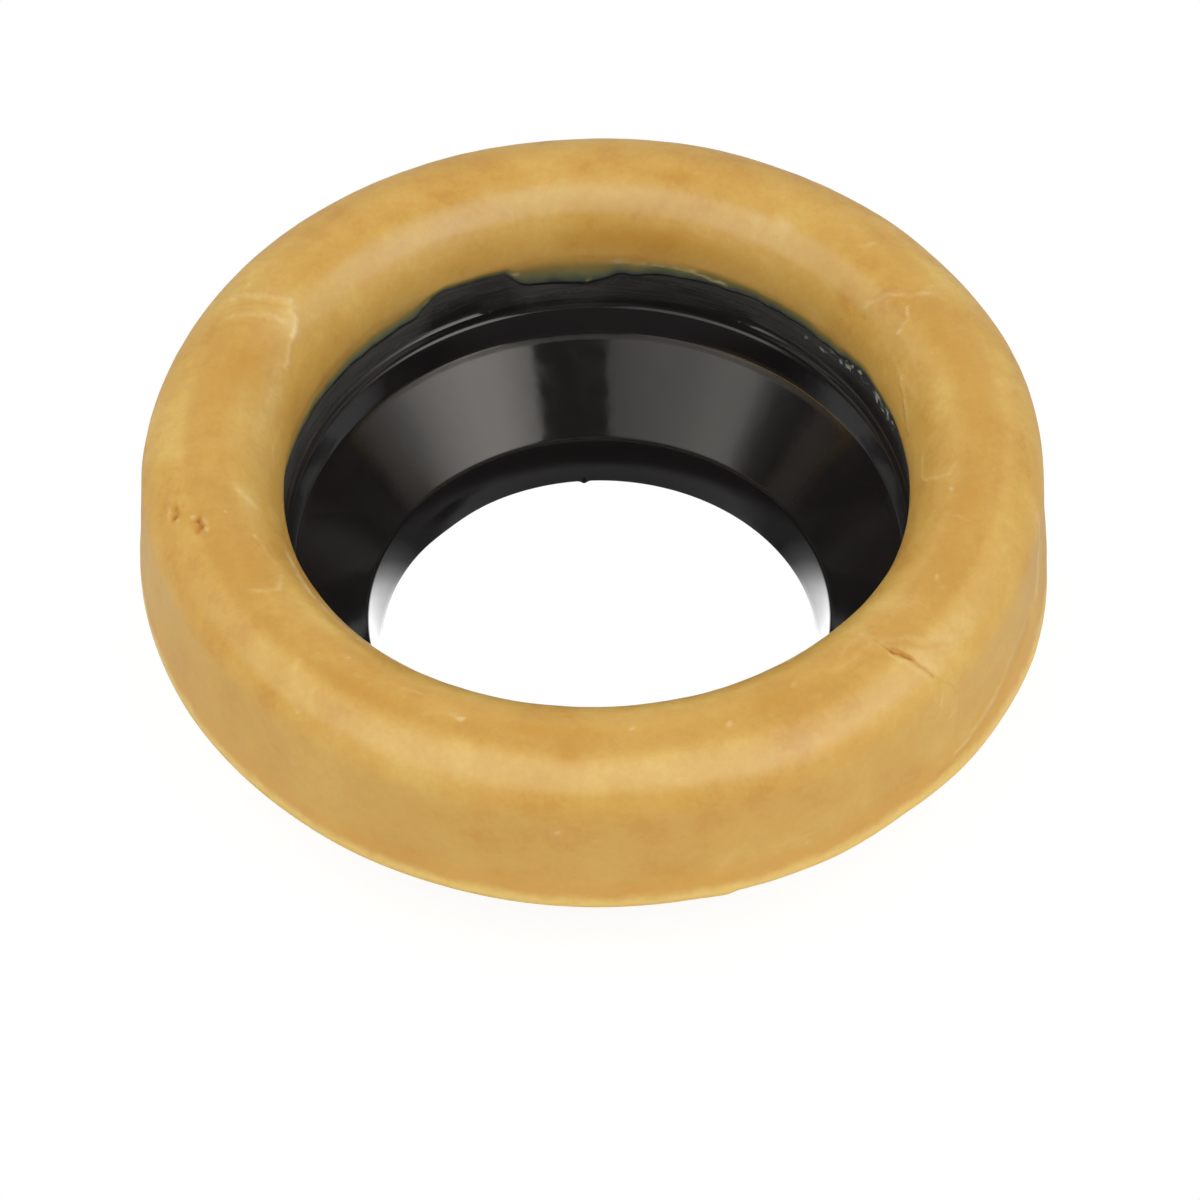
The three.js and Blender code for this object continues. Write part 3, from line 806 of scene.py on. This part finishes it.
def polyethylene():
    # black polyethylene off a polished mould: a deep gloss, dulled where wax is smeared on the collar
    material, tree = newMaterial("black polyethylene, polished mould")
    place = millimetres(tree)
    split = addNode(tree, "SeparateXYZ", {0: place})
    turn = sums(tree, "ARCTAN2", split.outputs["Y"], split.outputs["X"])
    drawn = addNode(tree, "CombineXYZ", {
        "X": sums(tree, "MULTIPLY", turn, 6.0),
        "Y": sums(tree, "MULTIPLY", split.outputs["Z"], 2.6)}).outputs[0]
    streaks = noise(tree, drawn, 1.0, detail=4.0, roughness=0.6)
    smear, crust = attribute(tree, "smear"), attribute(tree, "crust")
    film = sums(tree, "MULTIPLY", smear, between(tree, streaks, 0.35, 0.72, 0.25, 1.0))
    grain = noise(tree, place, 1.5, detail=5.0, roughness=0.7)
    crumbs = between(tree, sums(tree, "ADD", grain, sums(tree, "MULTIPLY", crust, 0.16)), 0.64, 0.72)
    crusted = sums(tree, "MINIMUM", sums(tree, "MULTIPLY", crust, 3.0), 1.0)
    crumbs = sums(tree, "MULTIPLY", crumbs, crusted)
    cloud = noise(tree, place, 9.0, detail=2.0)
    colour = blend(tree, between(tree, cloud, 0.3, 0.7), linear("#1a191a"), linear("#1e1c1d"))
    colour = blend(tree, sums(tree, "MULTIPLY", film, 0.92), colour, linear("#4a4a49"))
    colour = blend(tree, attribute(tree, "witness"), colour, linear("#8a7857"))
    colour = blend(tree, crumbs, colour, linear("#9aa09a"))
    polish = between(tree, noise(tree, place, 3.0), 0.3, 0.7, 0.08, 0.13)
    rough = sums(tree, "ADD", polish, sums(tree, "MULTIPLY", smear, 0.28))
    rough = sums(tree, "ADD", rough, sums(tree, "MULTIPLY", crumbs, 0.3))
    # the cone's gloss is softer where it fades towards the sides
    fading = attribute(tree, "cone")
    fading = sums(tree, "MULTIPLY", fading, sums(tree, "SUBTRACT", 1.0, fading))
    rough = sums(tree, "ADD", rough, sums(tree, "MULTIPLY", fading, 1.1))
    height = sums(tree, "ADD", sums(tree, "MULTIPLY", crumbs, 0.15), sums(tree, "MULTIPLY", film, 0.02))
    uneven = noise(tree, place, 5.0, detail=2.0)
    height = sums(tree, "ADD", height, sums(tree, "MULTIPLY", uneven, 0.02))
    # the cone's gloss is tipped a few degrees up, so that it mirrors the lamps and not the near wax
    steep = sums(tree, "MULTIPLY", attribute(tree, "cone"), glossTilt)
    steep = addNode(tree, "CombineXYZ", {"Z": steep}).outputs[0]
    tipped = addNode(tree, "VectorMath", {0: addNode(tree, "NewGeometry").outputs["Normal"], 1: steep},
                     operation="ADD").outputs[0]
    tipped = addNode(tree, "VectorMath", {0: tipped}, operation="NORMALIZE").outputs[0]
    relief = addNode(tree, "Bump", {"Height": height, "Distance": mm, "Strength": 1.0,
                                    "Normal": tipped})
    surface = addNode(tree, "BsdfPrincipled", {"Base Color": colour, "Roughness": rough, "IOR": 1.5,
                                               "Normal": relief.outputs[0]})
    addNode(tree, "OutputMaterial", {"Surface": surface.outputs[0]})
    return material


def petroleumWax():
    # petroleum wax, cast: soft mottled amber that light enters a millimetre or two, with a satin sheen
    material, tree = newMaterial("petroleum wax, cast")
    place = millimetres(tree)
    along, thin = attribute(tree, "along"), attribute(tree, "thin")
    paleAndGlint, amberAndShade = attribute(tree, "paleAndGlint"), attribute(tree, "amberAndShade")
    patches = noise(tree, place, 15.0, detail=3.0, roughness=0.5, distortion=0.5)
    flecks = noise(tree, place, 3.6, detail=4.0, roughness=0.6)
    grain = noise(tree, place, 0.7, detail=2.0)
    mottle = sums(tree, "ADD", sums(tree, "MULTIPLY", patches, 0.62),
                  sums(tree, "MULTIPLY", flecks, 0.38))
    specks = noise(tree, place, 1.1, detail=4.0, roughness=0.7)
    mottle = sums(tree, "ADD", mottle, sums(tree, "MULTIPLY", sums(tree, "SUBTRACT", specks, 0.5), 0.3))
    colour = ramp(tree, mottle, (0.36, "#c6974a"), (0.46, "#cfa756"), (0.55, "#d4af5f"),
                  (0.66, "#dbbd6e"))
    # the crown's top is a deeper amber, unevenly and most on the near side: partly the wax's own amber,
    # partly painted shade where the sheen does not reach
    amberTopAndShade = sums(tree, "MULTIPLY", between(tree, along, 24.6, 26.6), between(tree, along, 33.0, 30.5))
    amberTopAndShade = sums(tree, "MULTIPLY", amberTopAndShade, between(tree, mottle, 0.36, 0.6, 0.95, 0.55))
    depth = addNode(tree, "SeparateXYZ", {0: place}).outputs["Y"]
    amberTopAndShade = sums(tree, "MULTIPLY", amberTopAndShade, between(tree, depth, 10.0, 50.0, 1.0, 0.3))
    colour = blend(tree, amberTopAndShade, colour, linear("#c29748"))
    # the wall is evener, and the near shoulder and the far bore get a paler painted highlight where the
    # sheen falls
    colour = blend(tree, between(tree, along, 23.0, 15.0, 0.12, 0.5), colour, linear("#d0a350"))
    for low, high, start, end, most in ((20.0, 25.5, -12.0, -40.0, 0.2),
                                        (32.5, 38.0, 10.0, 38.0, 0.34)):
        paintedHighlight = sums(tree, "MULTIPLY", between(tree, along, low, low + 1.5),
                     between(tree, along, high, high - 1.5))
        paintedHighlight = sums(tree, "MULTIPLY", paintedHighlight, between(tree, depth, start, end, 0.0, most))
        colour = blend(tree, paintedHighlight, colour, linear("#ddc491"))
    # the wall's foot: an orange band above a pale rim; the pale rim is painted light, the table's light
    # glowing through the thin flash
    foot = sums(tree, "ADD", along, sums(tree, "MULTIPLY", sums(tree, "SUBTRACT", flecks, 0.5), 3.0))
    band = sums(tree, "MULTIPLY", between(tree, foot, 1.2, 2.6), between(tree, foot, 6.5, 3.0))
    colour = blend(tree, sums(tree, "MULTIPLY", band, 0.4), colour, linear("#d8a24a"))
    colour = blend(tree, between(tree, foot, 3.0, 0.9, 0.0, 0.9), colour, linear("#e9ca78"))
    # amber patches and pits, with the deepest nearly brown: the patches are the wax's own, the brown in
    # the pits and the crease is partly painted shade
    deepAmberAndShade = sums(tree, "MULTIPLY", amberAndShade, between(tree, flecks, 0.3, 0.7, 0.7, 1.25))
    colour = blend(tree, between(tree, deepAmberAndShade, 0.0, 0.9, 0.0, 0.8), colour, linear("#c28f33"))
    colour = blend(tree, between(tree, deepAmberAndShade, 0.75, 1.7, 0.0, 0.95), colour, linear("#a65e1e"))
    # scraped wax is whiter, in broken crumbs; the same whiter colour paints a highlight below the crease
    crumbled = sums(tree, "ADD", grain, sums(tree, "MULTIPLY", paleAndGlint, 0.3))
    scrapedAndGlint = sums(tree, "MULTIPLY", paleAndGlint, between(tree, crumbled, 0.42, 0.68, 0.6, 1.0))
    colour = blend(tree, sums(tree, "MINIMUM", scrapedAndGlint, 0.85), colour, linear("#e9d4a4"))
    # down the bore the wax is painted darker, partly painted shade where its wall turns to face sideways
    # and partly the black plastic under thinner wax; its thin lip lets the black plastic through
    colour = blend(tree, between(tree, along, 38.0, 46.0, 0.0, 0.45), colour, linear("#b8903f"))
    lip = sums(tree, "ADD", thin, sums(tree, "MULTIPLY", sums(tree, "SUBTRACT", flecks, 0.5), 0.35))
    lip = sums(tree, "MULTIPLY", lip, between(tree, thin, 0.0, 0.12))
    film = ramp(tree, lip, (0.0, "#ab8c46"), (0.3, "#9c8748"), (0.52, "#807c50"), (0.7, "#646a55"),
                (0.86, "#474d4a"), (1.0, "#2d3031"))
    colour = blend(tree, between(tree, lip, 0.0, 0.35), colour, film)
    torn = sums(tree, "MINIMUM", sums(tree, "MULTIPLY", scrapedAndGlint, 1.5), 1.0)
    torn = sums(tree, "MULTIPLY", torn, between(tree, thin, 0.0, 0.3, 0.0, 0.8))
    colour = blend(tree, torn, colour, linear("#c9bd86"))
    rough = between(tree, flecks, 0.3, 0.7, 0.33, 0.42)
    rough = sums(tree, "ADD", rough, sums(tree, "MULTIPLY", scrapedAndGlint, 0.12))
    bumps = sums(tree, "ADD", sums(tree, "MULTIPLY", noise(tree, place, 2.6, detail=4.0), 0.035),
                 sums(tree, "MULTIPLY", specks, 0.06))
    bumps = sums(tree, "ADD", bumps, sums(tree, "MULTIPLY", scrapedAndGlint, 0.06))
    relief = addNode(tree, "Bump", {"Height": bumps, "Distance": mm, "Strength": 0.6})
    surface = addNode(tree, "BsdfPrincipled", {
        "Base Color": colour, "Roughness": rough, "IOR": 1.5, "Normal": relief.outputs[0],
        "Subsurface Weight": 0.6, "Subsurface Radius": (1.0, 0.5, 0.2), "Subsurface Scale": 0.6 * mm,
    })
    addNode(tree, "OutputMaterial", {"Surface": surface.outputs[0]})
    return material


for piece, finish in ((hornPiece, polyethylene()), (waxPiece, petroleumWax())):
    piece.data.materials.clear()
    piece.data.materials.append(finish)
    plain = np.zeros(len(piece.data.polygons), np.int32)
    piece.data.polygons.foreach_set("material_index", plain)
print("materials made")

for piece, node, slotName in ((waxPiece, "wax_ring", "wax"),
                              (hornPiece, "plastic_horn", "polyethylene")):
    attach(piece, "root")
    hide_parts(node)
